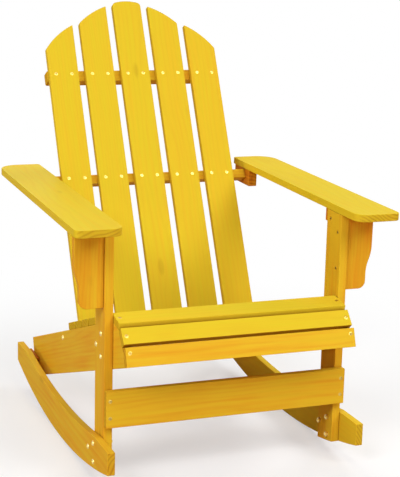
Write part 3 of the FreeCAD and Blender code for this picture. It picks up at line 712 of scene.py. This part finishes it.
@dataclass
class Hardware:
    """Screws with a cross recess, domed bolts with a hexagonal one, and their nuts."""

    joinery: Joinery
    brass: bpy.types.Material
    steel: bpy.types.Material
    round_steps: int = 20
    crease: float = math.radians(34)
    turns_seed: int = 7

    screw_head: float = 4.0 * MM
    screw_shank: float = 2.0 * MM
    screw_point: float = 3.0 * MM
    screw_rim: float = 0.12 * MM
    screw_rim_round: float = 0.02 * MM
    rim_share: float = 0.96
    point_share: float = 0.25

    bolt_head: float = 5.5 * MM
    bolt_dome: float = 3.2 * MM
    bolt_shank: float = 3.0 * MM
    bolt_chamfer: float = 0.4 * MM
    dome_angles: Sequence[int] = (38, 50, 62, 74, 84, 90)

    nut_width: float = 10.0 * MM
    nut_clearance: float = 0.15 * MM

    cross_share: float = 0.72
    cross_arm: float = 0.30
    hex_share: float = 0.46
    recess_depth: float = 2.0 * MM
    recess_taper: float = 0.62

    def build(self) -> None:
        """Make every group of fasteners."""
        draw = random.Random(self.turns_seed)
        for node in self.joinery.screw_nodes:
            self.group(node, self.joinery.axes[node], self.screw, draw, "screw_brass", self.brass)
        for node in self.joinery.bolt_nodes:
            self.group(node, self.joinery.axes[node], self.bolt, draw, "bolt_steel", self.steel)
        for node in self.joinery.nut_nodes:
            self.group(node, self.nut_axes(node), self.nut, draw, "bolt_steel", self.steel)

    def group(self, node: str, axes: Iterable[Axis],
              shape: Callable[[bmesh.types.BMesh, Axis], None],
              draw: random.Random, slot: str, finish: bpy.types.Material) -> None:
        """Make one group of like fasteners.

        Args:
            node: the CAD node that the group stands for.
            axes: where each fastener is.
            shape: the method that adds one fastener, its head at the origin, to a bmesh.
            draw: random turns of the recesses.
            slot: not used.
            finish: the material.
        """
        mesh = bmesh.new()
        for axis in axes:
            old = set(mesh.verts)
            shape(mesh, axis)
            new = [vertex for vertex in mesh.verts if vertex not in old]
            bmesh.ops.transform(mesh, matrix=axis.matrix(draw.uniform(0, math.tau)), verts=new)
        bmesh.ops.recalc_face_normals(mesh, faces=mesh.faces)
        for edge in mesh.edges:
            if edge.is_manifold and edge.calc_face_angle(0.0) > self.crease:
                edge.smooth = False
        stand_for(object_from(mesh, node + "_set"), node, finish)

    def turned(self, mesh: bmesh.types.BMesh, profile: Sequence[tuple[float, float]]
               ) -> list[bmesh.types.BMEdge]:
        """Turn a profile about Z, and close its last ring.

        Args:
            mesh: the bmesh to add to.
            profile: radius and height of each ring.

        Returns:
            The edges of the first ring, which is left open.
        """
        rings = []
        for radius, height in profile:
            ring = bmesh.ops.create_circle(mesh, cap_ends=False, segments=self.round_steps,
                                           radius=radius)["verts"]
            bmesh.ops.translate(mesh, vec=(0, 0, height), verts=ring)
            edges = {edge for vertex in ring for edge in vertex.link_edges}
            if rings:
                bmesh.ops.bridge_loops(mesh, edges=[*rings[-1], *edges])
            rings.append(list(edges))
        bmesh.ops.contextual_create(mesh, geom=rings[-1])
        return rings[0]

    def recess(self, mesh: bmesh.types.BMesh, rim: list[bmesh.types.BMEdge], drive: Drive,
               size: float, height: float) -> None:
        """Close a head's top with a tapered recess.

        Args:
            rim: edges of the ring that the top starts from.
            drive: the recess's outline.
            size: its reach from the axis.
            height: the top's height.
        """
        if drive is Drive.HEX:
            outline = [(size * math.cos(math.tau * turn / 6), size * math.sin(math.tau * turn / 6))
                       for turn in range(6)]
        else:
            arm = size * self.cross_arm
            quarter = [(size, -arm), (size, arm), (arm, arm)]
            turns = ((1, 0), (0, 1), (-1, 0), (0, -1))
            outline = [(x * cosine - y * sine, x * sine + y * cosine)
                       for cosine, sine in turns for x, y in quarter]
        mouth = [mesh.verts.new((x, y, height)) for x, y in outline]
        edges = [mesh.edges.new((mouth[index - 1], mouth[index])) for index in range(len(mouth))]
        bmesh.ops.bridge_loops(mesh, edges=[*rim, *edges])
        taper = self.recess_taper
        floor = [mesh.verts.new((x * taper, y * taper, height - self.recess_depth))
                 for x, y in outline]
        for index in range(len(mouth)):
            mesh.faces.new((mouth[index - 1], mouth[index], floor[index], floor[index - 1]))
        mesh.faces.new(floor)

    def screw(self, mesh: bmesh.types.BMesh, axis: Axis) -> None:
        """Add a countersunk screw."""
        head, shank, rim_height = self.screw_head, self.screw_shank, self.screw_rim
        tip = -axis.length
        rim = self.turned(mesh, [
            (head * self.cross_share, 0.0), (head * self.rim_share, -self.screw_rim_round),
            (head, -rim_height), (shank, shank - head - rim_height),
            (shank, tip + self.screw_point), (shank * self.point_share, tip)])
        self.recess(mesh, rim, Drive.CROSS, head * self.cross_share, 0.0)

    def bolt(self, mesh: bmesh.types.BMesh, axis: Axis) -> None:
        """Add a domed bolt, the top of its dome at the origin."""
        dome = [(self.bolt_head * math.sin(turn), -self.bolt_dome * (1 - math.cos(turn)))
                for turn in (math.radians(angle) for angle in self.dome_angles)]
        rim = self.turned(mesh, [
            *dome, (self.bolt_shank, -self.bolt_dome),
            (self.bolt_shank, self.bolt_chamfer - axis.length),
            (self.bolt_shank - self.bolt_chamfer, -axis.length)])
        self.recess(mesh, rim, Drive.HEX, self.bolt_head * self.hex_share, dome[0][1])

    def nut_axes(self, node: str) -> list[Axis]:
        """Where the nuts' free faces are, each facing the middle of the chair."""
        mesh = merged(node)
        axes = []
        for group in islands(mesh):
            points = np.array(group, float)
            low, high = points.min(0), points.max(0)
            side = 1.0 if low[0] > 0 else -1.0
            face = Vector((low[0] if side > 0 else high[0], *((low[1:] + high[1:]) / 2)))
            axes.append(Axis(face, Vector((-side, 0, 0)), float(high[0] - low[0])))
        mesh.free()
        return in_order(axes)

    def nut(self, mesh: bmesh.types.BMesh, axis: Axis) -> None:
        """Add a hexagonal nut with its bore, its free face at the origin."""
        reach = self.nut_width / math.sqrt(3)
        made = bmesh.ops.create_cone(mesh, cap_ends=False, segments=6, radius1=reach,
                                     radius2=reach, depth=axis.length)["verts"]
        bmesh.ops.translate(mesh, vec=(0, 0, -axis.length / 2), verts=made)
        for height in (0.0, -axis.length):
            rim = [edge for edge in {edge for vertex in made for edge in vertex.link_edges}
                   if all(abs(vertex.co.z - height) < 1e-7 for vertex in edge.verts)]
            hole = bmesh.ops.create_circle(mesh, segments=self.round_steps,
                                           radius=self.bolt_shank + self.nut_clearance)["verts"]
            bmesh.ops.translate(mesh, vec=(0, 0, height), verts=hole)
            bmesh.ops.bridge_loops(
                mesh, edges=[*rim, *{edge for vertex in hole for edge in vertex.link_edges}])
            if height == 0.0:
                first = hole
        both = {edge for vertex in (*first, *hole) for edge in vertex.link_edges
                if edge.is_boundary}
        bmesh.ops.bridge_loops(mesh, edges=list(both))


@dataclass(frozen=True)
class Lamp:
    """A square soft light, placed by its bearing from the front and its height, in degrees."""

    name: str
    bearing: float
    height: float
    power: float


@dataclass
class Studio:
    """A pale floor, soft lights and the photograph's camera."""

    lamps: tuple[Lamp, ...] = (
        Lamp("front_left", -50, 35, 150), Lamp("front_right", 35, 35, 155),
        Lamp("front_high", 0, 55, 60), Lamp("low_front", 0, 4, 72),
        Lamp("low_left", -84, 6, 112), Lamp("rear", 180, 35, 130),
        Lamp("rear_right", 130, 35, 110))
    lamp_size: float = 2.4
    lamp_distance: float = 6.0
    lamp_aim: Vector = Vector((0, 0, 0.45))
    ambient: float = 0.03
    floor_bounce: tuple[float, float, float] = (0.42, 0.22, 0.12)
    floor_white: tuple[float, float, float] = (0.95, 0.95, 0.95)
    floor_size: float = 14.0
    floor_gap: float = 0.2 * MM
    floor_glow: float = 0.5
    floor_fade: tuple[float, float] = (0.5, 1.5)

    camera_place: Vector = Vector((-1007.9, -2772.9, 1073.9)) * MM
    camera_target: Vector = Vector((-10.66, -173.9, 468.6)) * MM
    camera_roll: float = 1.285
    camera_reach: float = 50.0
    focal_pixels: float = 1324.57
    image_size: tuple[int, int] = (400, 477)
    film: float = 36.0

    def build(self) -> None:
        """Set up the floor, the lights, the world and the camera."""
        scene = bpy.context.scene
        scene.view_settings.view_transform = "Standard"
        self.add_floor()
        self.add_world(scene)
        for lamp in self.lamps:
            self.add_lamp(lamp)
        scene.camera = self.add_camera()

    def add_camera(self) -> bpy.types.Object:
        """Place the camera where the photograph was taken from, and return it."""
        lens = bpy.data.cameras.new("camera")
        lens.sensor_fit = "VERTICAL"
        lens.sensor_height = self.film
        lens.lens = self.focal_pixels * self.film / self.image_size[1]
        lens.clip_end = self.camera_reach
        camera = bpy.data.objects.new("camera", lens)
        bpy.context.scene.collection.objects.link(camera)
        look = (self.camera_target - self.camera_place).to_track_quat("-Z", "Y")
        roll = Matrix.Rotation(math.radians(self.camera_roll), 4, "Z")
        camera.matrix_world = (Matrix.Translation(self.camera_place)
                               @ look.to_matrix().to_4x4() @ roll)
        return camera

    def add_floor(self) -> None:
        """A wide floor that keeps the chair's shadow and fades to white away from it."""
        mesh = bmesh.new()
        bmesh.ops.create_grid(mesh, x_segments=1, y_segments=1, size=self.floor_size)
        floor = object_from(mesh, "floor")
        low = CAD_BOX[0][2]
        floor.data.transform(Matrix.Translation((0, 0, low - self.floor_gap)))
        shader = Shader("floor_paint")
        spot = shader.place()
        colour = shader.blend(shader.seen(), (*self.floor_bounce, 1), (*self.floor_white, 1))
        reach = shader.add("ShaderNodeVectorMath", {"operation": "LENGTH"}, {0: spot}, "Value")
        glow = shader.add("ShaderNodeEmission", {}, {"Color": (1, 1, 1, 1)}, "Emission")
        paint = shader.finish(Base_Color=colour, Roughness=0.9, Specular_IOR_Level=0.0)
        fade = (1.0 - self.floor_glow) * reach.ramp(*self.floor_fade)
        both = shader.add("ShaderNodeMixShader", {}, {
            0: shader.seen() * (self.floor_glow + fade),
            1: Value(shader, shader.surface.outputs[0]), 2: glow})
        output = shader.tree.nodes["Material Output"]
        shader.tree.links.new(both.socket, output.inputs["Surface"])
        floor.data.materials.append(paint)

    def add_world(self, scene: bpy.types.Scene) -> None:
        """Surroundings that are white to the camera and dim to the wood."""
        world = bpy.data.worlds.new("studio")
        scene.world = world
        world.use_nodes = True
        tree = world.node_tree
        background = tree.nodes["Background"]
        background.inputs["Color"].default_value = (1, 1, 1, 1)
        level = NodeTree(tree).seen() * (1.0 - self.ambient) + self.ambient
        tree.links.new(level.socket, background.inputs["Strength"])

    def add_lamp(self, lamp: Lamp) -> None:
        """Add a lamp, aimed at the chair's middle."""
        light = bpy.data.lights.new(lamp.name, "AREA")
        light.size = self.lamp_size
        light.energy = lamp.power
        fixture = bpy.data.objects.new(lamp.name, light)
        bpy.context.scene.collection.objects.link(fixture)
        turn = (Matrix.Rotation(math.radians(lamp.bearing), 4, "Z")
                @ Matrix.Rotation(math.radians(90 - lamp.height), 4, "X"))
        fixture.matrix_world = (Matrix.Translation(self.lamp_aim) @ turn
                                @ Matrix.Translation((0, 0, self.lamp_distance)))


def main() -> None:
    """Build the chair and its studio."""
    logging.basicConfig(level=logging.INFO, format="%(name)s %(message)s")
    joinery = Joinery()
    shop = Carpentry(joinery)
    for assembly in (Rockers(), Stand(), Seat(), Back(), Arms()):
        assembly.build(shop)
    Hardware(joinery, BRASS.make(), STEEL.make()).build()
    Studio().build()


if __name__ == "__main__":
    main()
